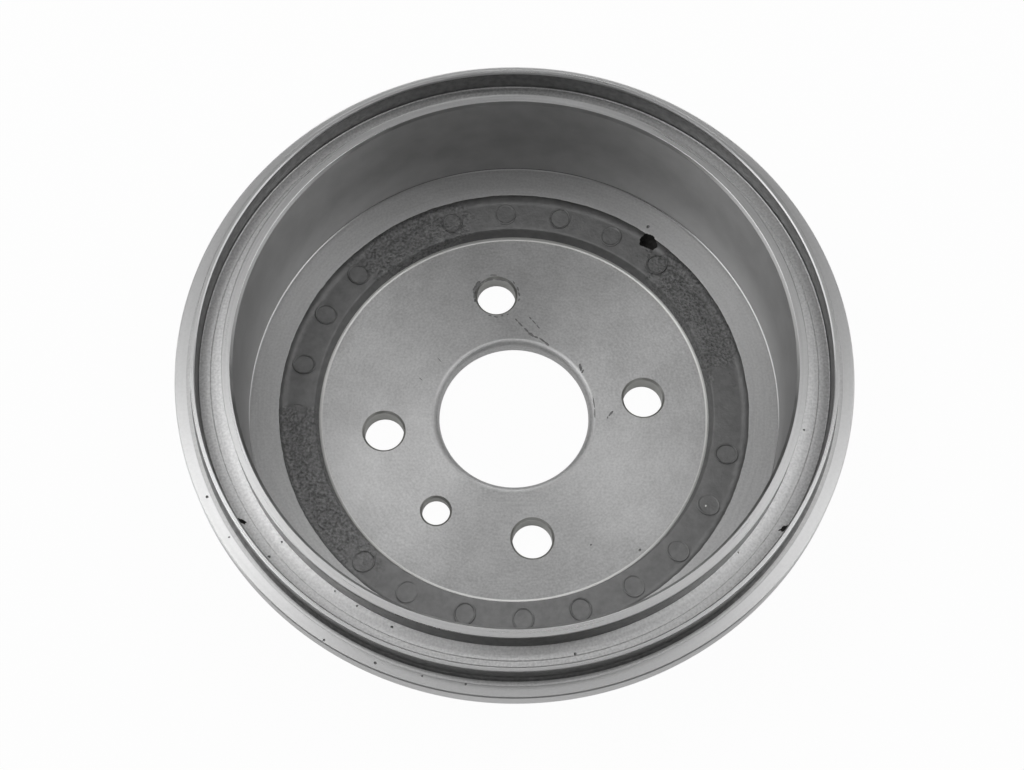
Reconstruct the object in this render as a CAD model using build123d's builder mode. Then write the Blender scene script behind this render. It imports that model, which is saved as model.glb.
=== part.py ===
"""Rear brake drum: one grey-iron casting, turned where it seats, rubs and seals.

Frame: +Z is the drum's axis and points out of its open side. The origin is on the
axis, in the plane of the wheel seat, so the drum lies on its web with the mouth up.
"""
import os

from build123d import *

os.makedirs("parts", exist_ok=True)

# ---- driving dimensions, mm ----------------------------------------------------

# Friction ring
friction_diameter = 200.0     # bore that the shoes rub on
track_depth = 53.4            # from the turned ring of the web up to the lip
wall_thickness = 9.0          # cylinder wall where it leaves the web
wall_draft = 1.2              # how much the outside widens up to the flange
track_corner = 1.3            # slope left by the tool at the foot of the bore

# Mouth of the drum, from the bore outwards
lip_width = 4.0               # end of the friction ring
lip_height = 10.9             # lip above the floor of the channel
lip_chamfer = 1.0             # lead-in for the shoes
channel_width = 9.4           # floor between lip and fin
fin_width = 1.8               # thin ring that runs in the backing plate's groove
fin_height = 9.7
rim_width = 6.8               # flange outside the fin
flange_thickness = 8.2
flange_root = 5.0             # cast slope where the flange leaves the wall

# Web, from the bore inwards
turned_ring_width = 11.15
cast_ring_width = 13.25
cast_ring_drop = 3.3          # cast ring below the turned ring
cast_corner = 3.0             # hollow at the outer edge of the cast ring
recess_depth = 5.7            # hub face below the cast ring
recess_draft = 1.5            # slope of the recess wall
recess_corner = 0.5           # slope left by the tool at its foot
hub_thickness = 8.0           # between hub face and wheel seat
web_thickness = 7.2           # under the cast ring

# Outside of the web
seat_overlap = 1.0            # wheel seat beyond the hub face
shoulder_width = 4.0          # slope from the seat up to the cast web
outer_corner = 10.0           # round corner from web to wall

# Hub bore and holes
bore_diameter = 57.2
bore_lead_in = 2.0            # chamfer on the hub side
bore_back_chamfer = 2.8       # chamfer on the wheel side
bolt_circle = 100.0
bolt_count = 4
bolt_hole_diameter = 15.0
bolt_start_angle = 8.6        # first bolt hole, degrees from +X
locating_hole_diameter = 10.5
locating_circle = 97.2
locating_sink_depth = 3.4     # countersink for the screw, on the wheel side
hole_lead_in = 0.8            # broken edge of each hole, on the hub side

# ---- radii and heights that follow ----------------------------------------------

friction_r = friction_diameter / 2
lip_r = friction_r + lip_width
fin_inner_r = lip_r + channel_width
fin_outer_r = fin_inner_r + fin_width
flange_r = fin_outer_r + rim_width

ring_inner_r = friction_r - turned_ring_width
recess_r = ring_inner_r - cast_ring_width
hub_face_r = recess_r - recess_draft
seat_r = hub_face_r + seat_overlap
shoulder_r = seat_r + shoulder_width
wall_foot_r = friction_r + wall_thickness
wall_top_r = wall_foot_r + wall_draft
bore_r = bore_diameter / 2

hub_face_z = hub_thickness
cast_ring_z = hub_face_z + recess_depth
turned_ring_z = cast_ring_z + cast_ring_drop
web_back_z = cast_ring_z - web_thickness
lip_z = turned_ring_z + track_depth
floor_z = lip_z - lip_height
fin_z = floor_z + fin_height
flange_back_z = floor_z - flange_thickness

locating_angle = bolt_start_angle + 360 / bolt_count * (bolt_count - 1.5)


def corner(sketch, radius, height):
    """The corner of a section nearest to a radius and a height."""
    return sketch.vertices().sort_by_distance(Vector(radius, height, 0))[0]


with BuildPart() as brake_drum:
    # The whole casting is one section turned about the axis.
    with BuildSketch(Plane.XZ) as section:
        with BuildLine():
            Polyline(
                (bore_r + bore_back_chamfer, 0),
                (seat_r, 0),
                (shoulder_r, web_back_z),
                (wall_foot_r, web_back_z),
                (wall_top_r, flange_back_z),
                (flange_r, flange_back_z),
                (flange_r, floor_z),
                (fin_outer_r, floor_z),
                (fin_outer_r, fin_z),
                (fin_inner_r, fin_z),
                (fin_inner_r, floor_z),
                (lip_r, floor_z),
                (lip_r, lip_z),
                (friction_r + lip_chamfer, lip_z),
                (friction_r, lip_z - lip_chamfer),
                (friction_r, turned_ring_z),
                (ring_inner_r, turned_ring_z),
                (ring_inner_r, cast_ring_z),
                (recess_r, cast_ring_z),
                (hub_face_r, hub_face_z),
                (bore_r + bore_lead_in, hub_face_z),
                (bore_r, hub_face_z - bore_lead_in),
                (bore_r, bore_back_chamfer),
                close=True,
            )
        make_face()
        # Corners of the casting
        fillet(corner(section, wall_foot_r, web_back_z), radius=outer_corner)
        fillet(corner(section, ring_inner_r, cast_ring_z), radius=cast_corner)
        chamfer(corner(section, wall_top_r, flange_back_z), length=flange_root)
        # Corners that the lathe tools leave
        chamfer(corner(section, friction_r, turned_ring_z), length=track_corner)
        chamfer(corner(section, hub_face_r, hub_face_z), length=recess_corner)
    revolve(axis=Axis.Z)

    # Wheel bolts pass through the web into the hub.
    with Locations((0, 0, hub_face_z)):
        with PolarLocations(bolt_circle / 2, bolt_count, start_angle=bolt_start_angle):
            CounterSinkHole(
                radius=bolt_hole_diameter / 2,
                counter_sink_radius=bolt_hole_diameter / 2 + hole_lead_in,
                depth=hub_thickness,
                counter_sink_angle=90,
            )
        # The locating hole has the same broken edge, midway between the last two bolts.
        with PolarLocations(locating_circle / 2, 1, start_angle=locating_angle):
            CounterSinkHole(
                radius=locating_hole_diameter / 2,
                counter_sink_radius=locating_hole_diameter / 2 + hole_lead_in,
                depth=hub_thickness,
                counter_sink_angle=90,
            )

    # Its screw goes in from the wheel side.
    with Locations(Plane.XY.rotated((180, 0, 0))):
        with PolarLocations(locating_circle / 2, 1, start_angle=-locating_angle):
            CounterSinkHole(
                radius=locating_hole_diameter / 2,
                counter_sink_radius=locating_hole_diameter / 2 + locating_sink_depth,
                depth=hub_thickness,
                counter_sink_angle=90,
            )

brake_drum.part.label = "brake_drum"
export_step(brake_drum.part, "parts/brake_drum.step")
print(f"brake drum: {brake_drum.part.volume / 1000:.1f} cm3, height {lip_z:.1f} mm")
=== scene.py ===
"""Brake drum of grey cast iron, lying on its wheel seat with the open side up."""
import math
import random

import bmesh
import bpy
from mathutils import Matrix, Vector, noise


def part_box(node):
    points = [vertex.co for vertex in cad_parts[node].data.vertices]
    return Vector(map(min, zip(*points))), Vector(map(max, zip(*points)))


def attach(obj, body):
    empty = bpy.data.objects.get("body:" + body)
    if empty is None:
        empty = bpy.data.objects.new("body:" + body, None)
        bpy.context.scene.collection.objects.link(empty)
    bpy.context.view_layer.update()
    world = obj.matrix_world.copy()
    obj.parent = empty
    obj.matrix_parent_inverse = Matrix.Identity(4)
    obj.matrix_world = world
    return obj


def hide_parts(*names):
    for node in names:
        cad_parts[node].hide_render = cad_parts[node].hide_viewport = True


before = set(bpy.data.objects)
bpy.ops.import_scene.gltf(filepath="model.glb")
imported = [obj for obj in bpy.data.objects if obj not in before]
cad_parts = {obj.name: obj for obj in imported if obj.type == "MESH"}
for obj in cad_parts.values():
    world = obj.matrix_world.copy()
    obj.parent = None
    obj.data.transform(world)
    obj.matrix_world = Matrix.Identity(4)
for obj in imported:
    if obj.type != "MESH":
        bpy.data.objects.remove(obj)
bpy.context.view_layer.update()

# ---- The casting ------------------------------------------------------------------
# A brake drum is one piece of grey iron, poured in sand: web, wall, flange, lip and
# sealing fin. Its section is drawn once, each corner gets the radius that the mould or
# the turning tool leaves, and the section is spun round the axis.

MM = 0.001
SPIN_STEPS = 360

low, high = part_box("brake_drum")
flange_r = round(high.x / MM, 1)
lip_z = high.z / MM

RIM_WIDTH = 6.8
FIN_WIDTH = 1.8
CHANNEL_WIDTH = 9.4
LIP_WIDTH = 4.0
TURNED_RING_WIDTH = 11.15
CAST_RING_WIDTH = 13.25
RECESS_SLOPE = 1.5
LIP_HEIGHT = 10.9
FIN_HEIGHT = 9.7
FLANGE_THICKNESS = 8.2
TRACK_DEPTH = 53.4
CAST_RING_DROP = 3.3
RECESS_DEPTH = 5.7
WEB_THICKNESS = 7.2

bore_r = 28.6
fin_outer_r = flange_r - RIM_WIDTH
fin_inner_r = fin_outer_r - FIN_WIDTH
lip_r = fin_inner_r - CHANNEL_WIDTH
friction_r = lip_r - LIP_WIDTH
turned_ring_r = friction_r - TURNED_RING_WIDTH
recess_r = turned_ring_r - CAST_RING_WIDTH
hub_face_r = recess_r - RECESS_SLOPE

channel_z = lip_z - LIP_HEIGHT
fin_z = channel_z + FIN_HEIGHT
flange_back_z = channel_z - FLANGE_THICKNESS
turned_ring_z = lip_z - TRACK_DEPTH
cast_ring_z = turned_ring_z - CAST_RING_DROP
hub_face_z = cast_ring_z - RECESS_DEPTH
web_back_z = cast_ring_z - WEB_THICKNESS

BROKEN_EDGE = 0.45
FINE_EDGE = 0.25
UNDERCUT = 0.25
groove_r = lip_r + 5.1

# Radius, height and corner radius in mm, from the bore by the wheel side to the mouth. A
# fine groove runs in the channel's floor, and an undercut at the foot of the friction wall.
section = [
    (bore_r + 2.8, 0.0, 0.3),
    (hub_face_r + 1.0, 0.0, 0.5),
    (hub_face_r + 5.0, web_back_z, 2.2),
    (friction_r + 9.0, web_back_z, 10.0),
    (friction_r + 10.2, flange_back_z, 4.5),
    (flange_r, flange_back_z, 0.3),
    (flange_r, channel_z - BROKEN_EDGE, 0.05),
    (flange_r - BROKEN_EDGE, channel_z, 0.05),
    (fin_outer_r, channel_z, 2.6),
    (fin_outer_r, fin_z, 0.25),
    (fin_inner_r + BROKEN_EDGE, fin_z, 0.05),
    (fin_inner_r, fin_z - BROKEN_EDGE, 0.05),
    (fin_inner_r, channel_z, 0.6),
    (groove_r + 0.15, channel_z, 0.02),
    (groove_r, channel_z - 0.18, 0.02),
    (groove_r - 0.15, channel_z, 0.02),
    (lip_r + 2.6, channel_z + 0.02, 1.0),
    (lip_r, channel_z + 0.2, 0.1),
    (lip_r, lip_z - FINE_EDGE, 0.03),
    (lip_r - FINE_EDGE, lip_z, 0.03),
    (friction_r + 1.0, lip_z, 0.12),
    (friction_r, lip_z - 1.0, 0.12),
    (friction_r, turned_ring_z + 1.5, 0.02),
    (friction_r + UNDERCUT, turned_ring_z + 1.2, 0.02),
    (friction_r + UNDERCUT, turned_ring_z + 0.35, 0.04),
    (friction_r - 0.15, turned_ring_z, 0.05),
    (turned_ring_r, turned_ring_z, 0.15),
    (turned_ring_r, cast_ring_z, 2.9),
    (recess_r, cast_ring_z, 0.6),
    (hub_face_r, hub_face_z, 0.9),
    (bore_r + 1.5, hub_face_z, 1.4),
    (bore_r, hub_face_z - 2.0, 1.2),
    (bore_r, 2.8, 0.2),
]

drum = bmesh.new()
outline = [drum.verts.new((r * MM, 0, z * MM)) for r, z, corner in section]
drum.faces.new(outline)
for corner_vert, (_, _, corner) in zip(outline, section):
    bmesh.ops.bevel(
        drum,
        geom=[corner_vert],
        offset=corner * MM,
        offset_type="OFFSET",
        segments=8 if corner >= 1 else 3,
        profile=0.5,
        affect="VERTICES",
        material=-1,
    )
bmesh.ops.delete(drum, geom=drum.faces[:], context="FACES_ONLY")


def inside(vert, r_low, r_high, z_low, z_high):
    """Is a vertex in a band of radius and height, in mm?"""
    r, z = math.hypot(vert.co.x, vert.co.y) / MM, vert.co.z / MM
    return r_low <= r <= r_high and z_low <= z <= z_high


def cut_finer(band, spacing):
    """Cuts the outline's straight edges in a band into pieces of about a spacing in mm."""
    long_edges = [
        e for e in drum.edges
        if all(inside(v, *band) for v in e.verts) and e.calc_length() > 1.5 * spacing * MM
    ]
    for edge in long_edges:
        cuts = round(edge.calc_length() / (spacing * MM)) - 1
        bmesh.ops.subdivide_edges(drum, edges=[edge], cuts=cuts)


cast_band = (recess_r - 0.5, turned_ring_r + 0.1, cast_ring_z - 0.1, turned_ring_z - 0.3)
cut_finer(cast_band, 0.62)
cut_finer((hub_face_r + 4.0, flange_r + 1, web_back_z - 0.1, flange_back_z + 0.1), 2.2)
cut_finer((hub_face_r - 0.1, friction_r + 0.1, hub_face_z, lip_z), 6.0)

bmesh.ops.spin(
    drum,
    geom=drum.verts[:] + drum.edges[:],
    cent=(0, 0, 0),
    axis=(0, 0, 1),
    dvec=(0, 0, 0),
    angle=math.tau,
    steps=SPIN_STEPS,
    use_merge=True,
    use_duplicate=False,
)
bmesh.ops.remove_doubles(drum, verts=drum.verts[:], dist=0.002 * MM)
bmesh.ops.recalc_face_normals(drum, faces=drum.faces[:])

# The cast ring inside is seen close to, so its facets are halved once more round the axis.
cast_rings = [
    e for e in drum.edges
    if all(inside(v, *cast_band) for v in e.verts)
    and abs(e.verts[0].co.xy.length - e.verts[1].co.xy.length) < 0.01 * MM
    and abs(e.verts[0].co.z - e.verts[1].co.z) < 0.01 * MM
]
bmesh.ops.subdivide_edges(drum, edges=cast_rings, cuts=1, use_grid_fill=True)

# Sand leaves a rough skin where no tool has been: on the ring inside, and outside on the
# web and the wall. Each cast vertex moves a little along its normal.
GRAIN_FINE = 1.6
GRAIN_COARSE = 9.0
ROUGHEST = ((19, 7), (37, 10), (202, 24))
outer_skin = (hub_face_r + 4.0, friction_r + 12.0, web_back_z - 0.1, flange_back_z - 1.0)


def patch(degrees, middle, half):
    """One inside a stretch of angles, fading to nothing outside it."""
    away = abs((degrees - middle + 180) % 360 - 180)
    return max(0.0, min(1.0, (half + 3 - away) / 3))


drum.normal_update()
for vert in drum.verts:
    is_ring = inside(vert, *cast_band)
    if is_ring or (inside(vert, *outer_skin) and vert.normal.dot(vert.co.xy.to_3d()) >= -1e-6):
        place = vert.co / MM
        if not is_ring and place.xy.length < friction_r + 2 and place.z > web_back_z + 1:
            continue
        swell = 0.07 * noise.noise(place / GRAIN_COARSE)
        grain = 0.06 * noise.fractal(place / GRAIN_FINE, 0.6, 2.0, 3)
        if is_ring:
            degrees = math.degrees(math.atan2(place.y, place.x)) % 360
            rough = max(patch(degrees, middle, half) for middle, half in ROUGHEST)
            rough = max(rough, 0.5 * patch(degrees, 120, 16))
            grain *= 1 + 1.6 * rough
        vert.co += vert.normal * (swell + grain) * MM

# The turned ring stops where the rough wall begins, so its inner edge wanders.
for vert in drum.verts:
    if inside(vert, turned_ring_r - 0.7, turned_ring_r + 0.35, turned_ring_z - 1.2, turned_ring_z + 0.01):
        angle = math.atan2(vert.co.y, vert.co.x)
        along = Vector((math.cos(angle), math.sin(angle), 0))
        wander = 0.16 * noise.noise(along * 34) + 0.13 * noise.noise(along * 11)
        wander += 0.08 * noise.noise(along * 90)
        vert.co += along * wander * MM

# Zones of the surface, one material slot each. What no zone takes stays as the hub face.
# The bounds fall between the middles of neighbouring faces.
TURNED, RING, MOUTH, FLANGE, CHANNEL, WALL, TRACK, CAST, EDGE, DRILLED, CAVITY_SHADE = range(11)
for face in drum.faces:
    middle = face.calc_center_median() / MM
    r, z = middle.xy.length, middle.z
    beside_wall = min(abs(r - fin_inner_r), abs(r - fin_outer_r), abs(r - lip_r)) < 0.2
    # The hub face's rounded rim takes a lighter finish, a painted highlight.
    if hub_face_r - 1.2 < r < hub_face_r + 0.5 and hub_face_z + 0.02 < z < hub_face_z + 0.75:
        face.material_index = EDGE
    elif friction_r - 0.14 < r < friction_r + 0.24 and turned_ring_z + 0.01 < z < turned_ring_z + 0.34:
        face.material_index = MOUTH
    # The groove at the foot of the friction wall takes the dark wall finish, a painted shade.
    elif friction_r < r < friction_r + 0.3 and turned_ring_z + 0.4 < z < turned_ring_z + 1.5:
        face.material_index = WALL
    elif bore_r + 0.2 < r < bore_r + 3.0 and hub_face_z - 1.8 < z < hub_face_z - 0.003:
        face.material_index = RING
    elif hub_face_r < r < turned_ring_r + 0.5 and hub_face_z < z < turned_ring_z - 0.25:
        face.material_index = CAST
    elif r > hub_face_r + 3.5 and z < cast_ring_z - 2 or r > friction_r + 5 and z < flange_back_z + 0.2:
        face.material_index = CAST
    elif friction_r - 0.2 < r < friction_r + 0.95 and turned_ring_z + 0.7 < z < lip_z - 0.1:
        face.material_index = TRACK
    # The steep walls beside the fin and the lip take the dark wall finish, a painted shade.
    elif z > channel_z and beside_wall and abs(face.normal.z) < 0.3:
        face.material_index = WALL
    # Just outside the fin, the first mm of its foot takes the dark wall finish too, a painted shade.
    elif z > channel_z + 0.003 and fin_outer_r < r < fin_outer_r + 2.7:
        face.material_index = WALL if r < fin_outer_r + 1.0 else RING
    elif z > turned_ring_z + 3:
        inner = lip_r < r < fin_inner_r and z < fin_z - 1
        face.material_index = CHANNEL if inner else FLANGE if r > fin_outer_r + 0.3 else MOUTH
    elif r > turned_ring_r - 1 and z > cast_ring_z:
        face.material_index = RING

casting_mesh = bpy.data.meshes.new("brake_drum_casting")
drum.to_mesh(casting_mesh)
drum.free()
casting = bpy.data.objects.new("brake_drum_casting", casting_mesh)
bpy.context.scene.collection.objects.link(casting)

# ---- Holes, and what is missing from the casting ------------------------------------
# Four bolt holes and the locating hole are drilled through the web, each with a broken
# edge. The sand left a cavity in the corner of the cast ring, and the turned faces have
# pits where the tool opened small holes, and two deep nicks at the foot of the fin.

BOLT_CIRCLE_R = 50.0
LOCATING_CIRCLE_R = 48.6
FIRST_BOLT = 8.6
BOLT_R = 7.5
LOCATING_R = 5.25
LEAD_IN = 0.8

# Depths of the cones on the wheel side, and how far a cutter goes on past a face.
BOLT_CONE = 0.3
SCREW_CONE = 3.4
PAST = 3.0


def polar(radius, degrees, height):
    """A point in metres from a radius in mm, an angle in degrees and a height in mm."""
    angle = math.radians(degrees)
    return Vector((radius * math.cos(angle), radius * math.sin(angle), height)) * MM


def spun(profile, steps):
    """A profile of radius and height in mm, spun round an upright axis at the origin."""
    shape = bmesh.new()
    points = [shape.verts.new((r * MM, 0, z * MM)) for r, z in profile]
    edges = [shape.edges.new(pair) for pair in zip(points, points[1:])]
    bmesh.ops.spin(
        shape,
        geom=points + edges,
        cent=(0, 0, 0),
        axis=(0, 0, 1),
        dvec=(0, 0, 0),
        angle=math.tau,
        steps=steps,
        use_merge=True,
        use_duplicate=False,
    )
    bmesh.ops.remove_doubles(shape, verts=shape.verts[:], dist=0.001 * MM)
    bmesh.ops.recalc_face_normals(shape, faces=shape.faces[:])
    return shape


def pour_into(whole, shape, skin):
    """Adds a shape to a whole, with one finish all over, and frees it."""
    held = bpy.data.meshes.new("held")
    shape.to_mesh(held)
    shape.free()
    for face in held.polygons:
        face.material_index = skin
    whole.from_mesh(held)
    bpy.data.meshes.remove(held)


cutters = bmesh.new()


def cut_hole(place, profile):
    """Adds the cutter of a hole: a profile of radius and height in mm."""
    hole = spun(profile, 96)
    bmesh.ops.translate(hole, verts=hole.verts[:], vec=(place.x, place.y, 0))
    pour_into(cutters, hole, DRILLED)


def hole_profile(radius, cone):
    """A hole with cones at both ends, which go on past the faces."""
    top = hub_face_z + PAST
    return [
        (0, -PAST), (radius + cone + PAST, -PAST), (radius, cone),
        (radius, hub_face_z - LEAD_IN), (radius + LEAD_IN + PAST, top), (0, top),
    ]


for count in range(4):
    cut_hole(polar(BOLT_CIRCLE_R, FIRST_BOLT + 90 * count, 0), hole_profile(BOLT_R, BOLT_CONE))
cut_hole(polar(LOCATING_CIRCLE_R, FIRST_BOLT + 225, 0), hole_profile(LOCATING_R, SCREW_CONE))

random.seed(7)


def lump(mesh, radius, degrees, height, size, turn, rough, skin, cuts=3):
    """Adds a rough lump to a mesh: size is its half length round, outwards and up, in mm."""
    made = bmesh.ops.create_icosphere(mesh, subdivisions=cuts, radius=1.0)["verts"]
    shift = Vector((random.uniform(0, 90), random.uniform(0, 90), random.uniform(0, 90)))
    for vert in made:
        vert.co *= 1 + rough * noise.fractal(vert.co * 1.7 + shift, 0.7, 2.0, 3)
    bmesh.ops.scale(mesh, verts=made, vec=Vector((size[1], size[0], size[2])) * MM)
    bmesh.ops.rotate(
        mesh, verts=made, cent=(0, 0, 0),
        matrix=Matrix.Rotation(math.radians(degrees + turn), 3, "Z"),
    )
    bmesh.ops.translate(mesh, verts=made, vec=polar(radius, degrees, height))
    for face in {face for vert in made for face in vert.link_faces}:
        face.material_index = skin


# The cavity and the two nicks take the dark finish inside, a painted shade.
lump(cutters, 87.2, 53.6, cast_ring_z + 0.6, (3.6, 2.9, 4.6), 8, 0.2, CAVITY_SHADE, 4)
lump(cutters, 112.1, 212.7, channel_z, (1.7, 0.7, 0.8), 25, 0.5, CAVITY_SHADE)
lump(cutters, 112.2, 327.2, channel_z, (1.6, 0.8, 0.8), -25, 0.5, CAVITY_SHADE)
PITS = [
    (119.0, 205.8, channel_z, 0.45), (118.8, 214.0, channel_z, 0.35), (120.9, 238.1, channel_z, 0.4),
    (119.6, 247.3, channel_z, 0.5), (118.5, 255.3, channel_z, 0.35), (118.2, 262.6, channel_z, 0.4),
    (105.0, 220.3, channel_z, 0.4), (111.6, 221.0, channel_z, 0.45), (104.8, 234.5, channel_z, 0.35),
    (104.9, 239.6, channel_z, 0.4), (105.9, 247.3, channel_z, 0.45), (108.5, 281.6, channel_z, 0.45),
    (104.8, 318.4, channel_z, 0.35), (105.7, 346.9, channel_z, 0.4), (71.5, 311.7, hub_face_z, 0.5),
    (59.4, 299.6, hub_face_z, 0.35), (91.7, 55.8, turned_ring_z, 0.6),
]
for radius, degrees, height, size in PITS:
    pit = (size * 1.2, size, size * 0.8)
    lump(cutters, radius, degrees, height, pit, random.uniform(0, 90), 0.3, CAST, 2)

cutter_mesh = bpy.data.meshes.new("cutters")
cutters.to_mesh(cutter_mesh)
cutters.free()
cutter = bpy.data.objects.new("cutters", cutter_mesh)
bpy.context.scene.collection.objects.link(cutter)

# ---- Marks of the mould --------------------------------------------------------------
# Low round marks stand on the cast ring where the pattern's plugs were, about one every
# fifteen degrees. They are plain discs with a raised rim, some of them worn low. The torn
# edge of one bolt hole and the scratches are thin streaks that lie on the metal.

marks = bmesh.new()
RIM = [(0, 0.25), (3.2, 0.2), (3.6, 0.3), (3.85, 1.4), (4.2, 1.7), (4.4, 1.2), (4.5, -1.6)]
RISE_BY_ANGLE = {
    48: 0.4, 63: 0.2, 78: 0.36, 93: 0.2, 108: 0.36, 138: 0.36, 152.5: 0.34, 168: 0.36, 182: 0.2,
    213: 0.2, 228: 0.24, 242: 0.2, 258: 0.34, 273: 0.26, 288: 0.38, 303: 0.22, 318: 0.22,
    333: 0.18, 348: 0.38,
}
for degrees, rise in RISE_BY_ANGLE.items():
    spot = spun([(r, h * rise) for r, h in RIM], 48)
    shift = Vector((random.uniform(0, 90), random.uniform(0, 90), 0))
    for vert in spot.verts:
        vert.co.z += 0.07 * MM * noise.fractal(vert.co / MM / 1.6 + shift, 0.6, 2.0, 3)
    place = polar(82.2 + random.uniform(-0.4, 0.4), degrees, cast_ring_z)
    tilt = Matrix.Rotation(math.radians(random.uniform(1.2, 3.4)), 3, "X")
    around = Matrix.Rotation(random.uniform(0, math.tau), 3, "Z")
    bmesh.ops.rotate(spot, verts=spot.verts[:], cent=(0, 0, 0), matrix=around @ tilt)
    bmesh.ops.scale(spot, verts=spot.verts[:], vec=(1.0, 0.92, 1.0))
    outwards = Matrix.Rotation(math.radians(degrees), 3, "Z")
    bmesh.ops.rotate(spot, verts=spot.verts[:], cent=(0, 0, 0), matrix=outwards)
    bmesh.ops.translate(spot, verts=spot.verts[:], vec=place)
    pour_into(marks, spot, CAST)


def scratch(x, y, heading, length, width, depth=0.0):
    """Adds a thin torn streak at the hub face: a place, a heading and sizes in mm."""
    degrees = math.degrees(math.atan2(y, x))
    size = (length / 2, width / 2, 0.07)
    turn, height = heading - degrees - 90, hub_face_z - depth
    lump(marks, math.hypot(x, y), degrees, height, size, turn, 0.35, CAST, 2)


# Around one bolt hole a tool has torn the edge: angle, reach, length, width and depth.
torn = polar(BOLT_CIRCLE_R, FIRST_BOLT + 90, 0) / MM
TORN_EDGE = [
    (62, 7.7, 2.4, 0.8, 0.7), (75, 7.6, 3.2, 1.0, 0.8), (90, 7.6, 3.4, 1.1, 0.8),
    (105, 7.6, 2.8, 1.0, 0.8), (118, 7.7, 2.4, 1.0, 0.7), (133, 8.3, 2.4, 1.3, 0.1),
    (146, 8.7, 2.8, 1.6, 0), (158, 8.8, 2.8, 1.5, 0), (170, 8.7, 2.6, 1.2, 0),
    (182, 8.6, 2.0, 0.9, 0), (195, 8.6, 1.6, 0.7, 0), (98, 8.9, 2.6, 0.6, 0),
    (40, 8.9, 1.4, 0.5, 0), (20, 8.9, 2.0, 0.6, 0), (5, 8.9, 1.8, 0.7, 0),
    (350, 9.0, 1.2, 0.5, 0), (255, 8.8, 1.4, 0.5, 0), (270, 9.0, 1.6, 0.5, 0),
    (285, 8.8, 1.2, 0.4, 0), (300, 9.1, 0.9, 0.4, 0),
]
for heading, reach, length, width, depth in TORN_EDGE:
    x = torn.x + reach * math.cos(math.radians(heading))
    y = torn.y + reach * math.sin(math.radians(heading))
    scratch(x, y, heading + 90 + random.uniform(-12, 12), length, width, depth)

# A broken scratch runs from there to the bore, with others: x, y, heading, length and width.
SCRATCHES = [
    (0.5, 39.2, 130, 1.6, 0.5), (2.0, 37.5, 132, 2.8, 0.7), (4.4, 35.0, 135, 2.6, 0.8),
    (6.2, 33.2, 142, 2.8, 1.1), (8.2, 32.1, 156, 2.0, 0.7), (10.6, 30.9, 142, 2.8, 0.8),
    (12.4, 29.4, 138, 2.6, 0.8), (5.9, 40.1, 130, 1.4, 0.5), (7.4, 38.4, 132, 2.2, 0.5),
    (8.9, 36.5, 128, 1.8, 0.45), (25.4, 19.8, 100, 3.4, 1.1), (26.2, 18.0, 60, 1.6, 0.7),
    (30.5, 5.4, 98, 4.8, 0.4), (30.9, 0.8, 91, 4.2, 0.4), (37.1, 0.9, 50, 2.8, 0.8),
    (35.8, -0.8, 90, 1.0, 0.5), (-29.0, 22.0, 130, 2.4, 0.3), (-36.0, 14.0, 140, 1.6, 0.3),
]
for x, y, heading, length, width in SCRATCHES:
    scratch(x, y, heading, length, width)

# Iron has run up beside the cavity, and a bright grain sits on the cast ring.
lump(marks, 84.7, 52.9, cast_ring_z - 0.3, (2.6, 0.9, 0.7), 12, 0.4, CAST)
lump(marks, 81.3, 332.4, cast_ring_z, (0.5, 0.45, 0.2), 0, 0.3, EDGE, 2)

mark_mesh = bpy.data.meshes.new("marks")
marks.to_mesh(mark_mesh)
marks.free()

# ---- Finishes ------------------------------------------------------------------------
# Grey iron, bare and dry. The turned faces carry fine rings left by the tool, so they
# reflect in a streak across the rings. Cast skin is darker and rough with sand.


def add(tree, kind, inputs=None, **settings):
    """Adds a node, sets it up, and gives each input a value or another node's socket."""
    node = tree.nodes.new(kind)
    for name, value in settings.items():
        setattr(node, name, value)
    for name, value in (inputs or {}).items():
        if isinstance(value, bpy.types.NodeSocket):
            tree.links.new(value, node.inputs[name])
        else:
            node.inputs[name].default_value = value
    return node


def colour(code):
    """A linear colour from an sRGB hex code."""
    parts = [int(code[i : i + 2], 16) / 255 for i in (1, 3, 5)]
    return tuple(c / 12.92 if c <= 0.04045 else ((c + 0.055) / 1.055) ** 2.4 for c in parts) + (1.0,)


def finish(name):
    """A material with its shader."""
    material = bpy.data.materials.new(name)
    material.use_nodes = True
    return material, material.node_tree, material.node_tree.nodes["Principled BSDF"]


def total(tree, first, second):
    """The sum of two values or sockets."""
    return add(tree, "ShaderNodeMath", {0: first, 1: second}, operation="ADD").outputs[0]


def times(tree, first, second):
    """The product of two values or sockets."""
    return add(tree, "ShaderNodeMath", {0: first, 1: second}, operation="MULTIPLY").outputs[0]


def ramp(tree, value, start, end, low, high):
    """A value that goes from low to high as another one goes from start to end."""
    ends = {"Value": value, "From Min": start, "From Max": end, "To Min": low, "To Max": high}
    return add(tree, "ShaderNodeMapRange", ends).outputs["Result"]


def place_parts(tree):
    """The place on the casting: its three coordinates, and the first two as a vector."""
    parts = add(tree, "ShaderNodeSeparateXYZ", {0: add(tree, "ShaderNodeTexCoord").outputs["Object"]})
    flat = add(tree, "ShaderNodeCombineXYZ", {0: parts.outputs[0], 1: parts.outputs[1]})
    return parts.outputs, flat.outputs[0]


def length_of(tree, vector):
    """The length of a vector."""
    return add(tree, "ShaderNodeVectorMath", {0: vector}, operation="LENGTH").outputs["Value"]


RING_LENGTH_AT = 100.0


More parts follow.
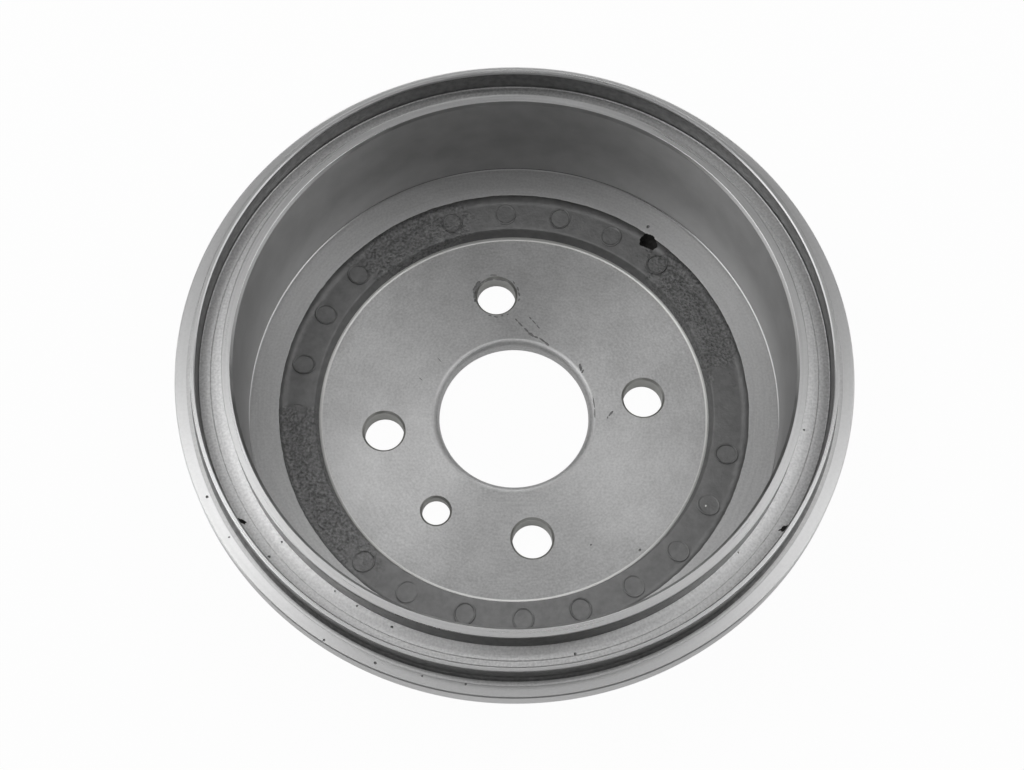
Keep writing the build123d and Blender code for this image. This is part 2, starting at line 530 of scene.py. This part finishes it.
def ring_space(tree, around, pitch):
    """Coordinates in which a ring's length round the axis and its pitch across are each 1.

    Both are in mm, and the length holds at the radius RING_LENGTH_AT.
    """
    parts, flat = place_parts(tree)
    radius = length_of(tree, flat)
    unit = add(tree, "ShaderNodeVectorMath", {0: flat}, operation="NORMALIZE").outputs[0]
    along = {0: unit, "Scale": RING_LENGTH_AT / around}
    wide = add(tree, "ShaderNodeVectorMath", along, operation="SCALE").outputs[0]
    across = total(tree, radius, parts[2])
    steps = times(tree, across, 1 / (pitch * MM))
    up_only = add(tree, "ShaderNodeCombineXYZ", {2: steps}).outputs[0]
    return add(tree, "ShaderNodeVectorMath", {0: wide, 1: up_only}, operation="ADD").outputs[0]


def grains(tree, size, detail):
    """Noise with lumps of about a size in mm."""
    where = add(tree, "ShaderNodeTexCoord").outputs["Object"]
    settings = {"Vector": where, "Scale": 1 / (size * MM), "Detail": detail}
    return add(tree, "ShaderNodeTexNoise", settings).outputs["Fac"]


def spread(tree, value, low, high):
    """A noise value, which is mostly between 0.3 and 0.7, spread from low to high."""
    return ramp(tree, value, 0.3, 0.7, low, high)


def spin_lines(tree, shader, spun_share):
    """Lets the shine stretch across the rings that a tool leaves round the axis."""
    tangent = add(tree, "ShaderNodeTangent", direction_type="RADIAL", axis="Z").outputs[0]
    tree.links.new(tangent, shader.inputs["Tangent"])
    shader.inputs["Anisotropic"].default_value = spun_share
    shader.inputs["Anisotropic Rotation"].default_value = 0.25


def ringed(name, around, pitch, lines, shade, rough, grain=1.1, spun_share=0.6, metal=1.0):
    """Turned metal: rings of a length and pitch in mm, and ranges of shade and roughness."""
    material, tree, shader = finish(name)
    shader.inputs["Metallic"].default_value = metal
    spin_lines(tree, shader, spun_share)
    cuts = {"Vector": ring_space(tree, around, pitch), "Scale": 1.0, "Detail": 2.0}
    cut_noise = add(tree, "ShaderNodeTexNoise", cuts).outputs["Fac"]
    mottle = grains(tree, grain, 2.0)
    light = total(tree, spread(tree, cut_noise, -lines, lines), spread(tree, mottle, *shade))
    tree.links.new(light, shader.inputs["Base Color"])
    uneven = cut_noise if around > 20 else mottle
    tree.links.new(spread(tree, uneven, *rough), shader.inputs["Roughness"])
    return material, tree, shader, light


def radius_ramp(tree, start, end, low, high):
    """A value that goes from low to high between two distances in mm from the axis."""
    radius = length_of(tree, place_parts(tree)[1])
    return ramp(tree, radius, start * MM, end * MM, low, high)


# Hub face: a fine facing cut, a little darker towards the rim, with cloudy stains.
turned, tree, shader, light = ringed("turned_iron", 6.0, 0.7, 0.03, (-0.07, 0.07), (0.34, 0.44), 0.9)
faced = total(tree, light, radius_ramp(tree, 35, 72, 0.68, 0.61))
stained = total(tree, faced, spread(tree, grains(tree, 14.0, 3.0), -0.05, 0.05))
tree.links.new(stained, shader.inputs["Base Color"])

# The ring at the foot of the friction wall is duller, so it takes light from all round. The
# lip's and the fin's tops are cut fine, and the flange is the brightest.
ring = ringed("dull_turned_iron", 14.0, 0.8, 0.03, (0.66, 0.76), (0.44, 0.5), 0.9, 0.0, 0.85)[0]
mouth = ringed("fine_turned_iron", 45.0, 0.9, 0.05, (0.74, 0.78), (0.27, 0.32))[0]
flange = ringed("bright_turned_iron", 60.0, 1.0, 0.02, (0.84, 0.88), (0.3, 0.33))[0]

# The channel's floor is dull too, and its colour is painted darker towards the fin, a painted shade in
# the corner beside the fin's wall.
channel, tree, shader, light = ringed(
    "coarse_turned_iron", 30.0, 0.8, 0.05, (-0.09, 0.09), (0.34, 0.42), 0.9, 0.0,
)
fin_side_shade = total(tree, light, radius_ramp(tree, 106, 113, 0.84, 0.6))
tree.links.new(fin_side_shade, shader.inputs["Base Color"])

# The hub face's rounded rim is painted lighter than the face, a painted highlight; the bright grain on
# the cast ring uses the same finish.
edge, tree, shader = finish("rim_highlight_and_grain_iron")
shader.inputs["Metallic"].default_value = 0.8
shader.inputs["Roughness"].default_value = 0.42
shader.inputs["Base Color"].default_value = colour("#eeeeec")

# The steep sides of the fin and the lip, the groove at the foot of the friction wall and the foot just
# outside the fin are painted dark, a painted shade.
wall, tree, shader = finish("painted_shade_wall_iron")
shader.inputs["Metallic"].default_value = 1.0
shader.inputs["Roughness"].default_value = 0.42
tree.links.new(spread(tree, grains(tree, 2.0, 3.0), 0.2, 0.3), shader.inputs["Base Color"])

# The friction wall is ground, with cloudy patches.
track, tree, shader = finish("ground_iron")
shader.inputs["Metallic"].default_value = 1.0
spin_lines(tree, shader, 0.6)
mottle = grains(tree, 9.0, 3.0)
tree.links.new(spread(tree, mottle, 0.41, 0.49), shader.inputs["Base Color"])
tree.links.new(spread(tree, mottle, 0.34, 0.42), shader.inputs["Roughness"])

# Cast skin, darker and rougher in four stretches round the axis, whose edges wander. Each
# stretch has the angle of its middle and half its width, in radians.
ROUGH_STRETCHES = ((0.33, 0.14), (0.65, 0.2), (-2.75, 0.45), (2.1, 0.25))
cast, tree, shader = finish("cast_iron")
shader.inputs["Metallic"].default_value = 0.75
shader.inputs["Roughness"].default_value = 0.55
x_y_z = place_parts(tree)[0]
angle = add(tree, "ShaderNodeMath", {0: x_y_z[1], 1: x_y_z[0]}, operation="ARCTAN2").outputs[0]
drift = total(tree, angle, spread(tree, grains(tree, 6.0, 3.0), -0.1, 0.1))
rough = 0.0
for middle, half in ROUGH_STRETCHES:
    off_middle = total(tree, drift, -middle)
    away = add(tree, "ShaderNodeMath", {0: off_middle}, operation="ABSOLUTE").outputs[0]
    one = ramp(tree, away, 1.2 * half, 0.7 * half, 0.0, 1.0)
    rough = add(tree, "ShaderNodeMath", {0: one, 1: rough}, operation="MAXIMUM").outputs[0]
sand = grains(tree, 1.0, 3.0)
pitted = times(tree, rough, spread(tree, sand, -0.12, 0.1))
skin_shade = total(tree, pitted, spread(tree, grains(tree, 3.0, 4.0), 0.25, 0.31))
tree.links.new(skin_shade, shader.inputs["Base Color"])
depth = total(tree, times(tree, rough, 1.1), 0.3)
relief = {"Strength": depth, "Distance": 0.5 * MM, "Height": sand}
bump = add(tree, "ShaderNodeBump", relief).outputs[0]
tree.links.new(bump, shader.inputs["Normal"])

# The walls of the bore and of the holes.
drilled, tree, shader = finish("drilled_iron")
shader.inputs["Metallic"].default_value = 0.85
shader.inputs["Roughness"].default_value = 0.3
shader.inputs["Base Color"].default_value = colour("#c6c6c3")

# The large cavity and the two nicks are painted dark inside, a painted shade.
cavity_shade, tree, shader = finish("painted_cavity_shade")
shader.inputs["Roughness"].default_value = 0.9
shader.inputs["Base Color"].default_value = colour("#3a3a38")

# In the order of the zones.
skins = (turned, ring, mouth, flange, channel, wall, track, cast, edge, drilled, cavity_shade)
for material in skins:
    casting_mesh.materials.append(material)
    cutter_mesh.materials.append(material)
    mark_mesh.materials.append(material)

# ---- The casting, cut and joined ---------------------------------------------------
# The holes, pits, nicks and the cavity are cut in one step, and the marks are joined to
# the casting, which then rides on the drum's body in place of the plain solid.

cut = casting.modifiers.new("holes", "BOOLEAN")
cut.object = cutter
cut.solver = "EXACT"
cut.material_mode = "TRANSFER"
depsgraph = bpy.context.evaluated_depsgraph_get()
drilled_mesh = bpy.data.meshes.new_from_object(casting.evaluated_get(depsgraph))
casting.modifiers.clear()
bpy.data.objects.remove(cutter)

whole = bmesh.new()
whole.from_mesh(drilled_mesh)
whole.from_mesh(mark_mesh)
whole.to_mesh(drilled_mesh)
whole.free()
casting.data = drilled_mesh
drilled_mesh.name = "brake_drum_casting"
drilled_mesh.shade_smooth()
drilled_mesh.set_sharp_from_angle(angle=math.radians(38))
even = casting.modifiers.new("even_normals", "WEIGHTED_NORMAL")
even.keep_sharp = True
even.weight = 80

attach(casting, "root")
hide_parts("brake_drum")

# ---- Camera --------------------------------------------------------------------------
# It looks steeply down into the open side from 0.77 m, with a long lens and a slight roll.

scene = bpy.context.scene
camera = bpy.data.objects.new("camera", bpy.data.cameras.new("camera"))
scene.collection.objects.link(camera)
scene.camera = camera
target = Vector((-0.0009, 0.0022, 0.033))
elevation, roll, distance = math.radians(68.54), math.radians(0.75), 0.773
back = Vector((0, -math.cos(elevation), math.sin(elevation)))
level, upright = Vector((1, 0, 0)), Vector((0, math.sin(elevation), math.cos(elevation)))
right = math.cos(roll) * level + math.sin(roll) * upright
up = math.cos(roll) * upright - math.sin(roll) * level
turn = Matrix((right, up, back)).transposed()
camera.matrix_world = Matrix.Translation(target + distance * back) @ turn.to_4x4()
camera.data.lens = 73.16
camera.data.sensor_width = 36.0
camera.data.clip_start, camera.data.clip_end = 0.05, 20.0

scene.view_settings.view_transform = "Standard"

# ---- Studio --------------------------------------------------------------------------
# Wide soft boxes stand left, right and behind, and small ones above them shape what the
# turned rings reflect. The pale floor goes on past the picture, and catches the drum's
# soft shadow.

LAMP_DISTANCE = 1.7
LAMP_AIM = Vector((0, 0, 0.03))


def soft_box(name, azimuth, elevation, width, height, power):
    """An area lamp round the drum: azimuth from +X to +Y in degrees, sides in metres."""
    a, e = math.radians(azimuth), math.radians(elevation)
    out = Vector((math.cos(a) * math.cos(e), math.sin(a) * math.cos(e), math.sin(e)))
    place = LAMP_DISTANCE * out
    lamp = bpy.data.lights.new(name, "AREA")
    lamp.shape = "RECTANGLE"
    lamp.size, lamp.size_y = width, height
    lamp.energy = power
    box = bpy.data.objects.new(name, lamp)
    box.location = place
    box.rotation_mode = "QUATERNION"
    box.rotation_quaternion = (LAMP_AIM - place).to_track_quat("-Z", "Y")
    scene.collection.objects.link(box)


soft_box("left_low", 180, 22, 1.6, 0.9, 6.2)
soft_box("left_high", 180, 62, 0.9, 0.6, 4.7)
soft_box("right_low", 0, 22, 1.6, 0.9, 4.9)
soft_box("right_high", 0, 62, 0.9, 0.6, 3.6)
soft_box("back_low", 90, 30, 1.6, 0.6, 6.8)
soft_box("back_left", 128, 66, 0.5, 0.45, 0.55)
soft_box("back_right", 52, 66, 0.5, 0.45, 0.32)
soft_box("front_left", 215, 60, 0.8, 0.5, 0.27)
soft_box("front_low", 270, 35, 1.2, 0.5, 0.4)
soft_box("top_back", 90, 76, 0.5, 0.25, 0.45)
soft_box("top_box", 270, 86, 0.6, 0.3, 0.25)

FLOOR_HALF = 6
floor_mesh = bpy.data.meshes.new("floor")
corners = [(x * FLOOR_HALF, y * FLOOR_HALF, 0) for x, y in ((-1, -1), (1, -1), (1, 1), (-1, 1))]
floor_mesh.from_pydata(corners, [], [(0, 1, 2, 3)])
floor = bpy.data.objects.new("floor", floor_mesh)
floor.location.z = -0.0002
scene.collection.objects.link(floor)

# The camera sees the floor as evenly lit paper, and the iron mirrors a little of that.
paper = bpy.data.materials.new("white_paper")
paper.use_nodes = True
tree = paper.node_tree
tree.nodes.clear()
plain = add(tree, "ShaderNodeBsdfDiffuse", {"Color": colour("#f4f4f4")}).outputs[0]
glow = add(tree, "ShaderNodeEmission", {"Strength": 1.0}).outputs[0]
path = add(tree, "ShaderNodeLightPath").outputs
seen = times(tree, path["Is Camera Ray"], 0.97)
mirrored = times(tree, path["Is Glossy Ray"], 0.12)
share = total(tree, seen, mirrored)
mix = add(tree, "ShaderNodeMixShader", {0: share, 1: plain, 2: glow}).outputs[0]
add(tree, "ShaderNodeOutputMaterial", {"Surface": mix})
floor_mesh.materials.append(paper)

world = bpy.data.worlds.new("studio")
scene.world = world
world.use_nodes = True
world.node_tree.nodes["Background"].inputs["Color"].default_value = (0.05, 0.05, 0.05, 1)
world.node_tree.nodes["Background"].inputs["Strength"].default_value = 1.0
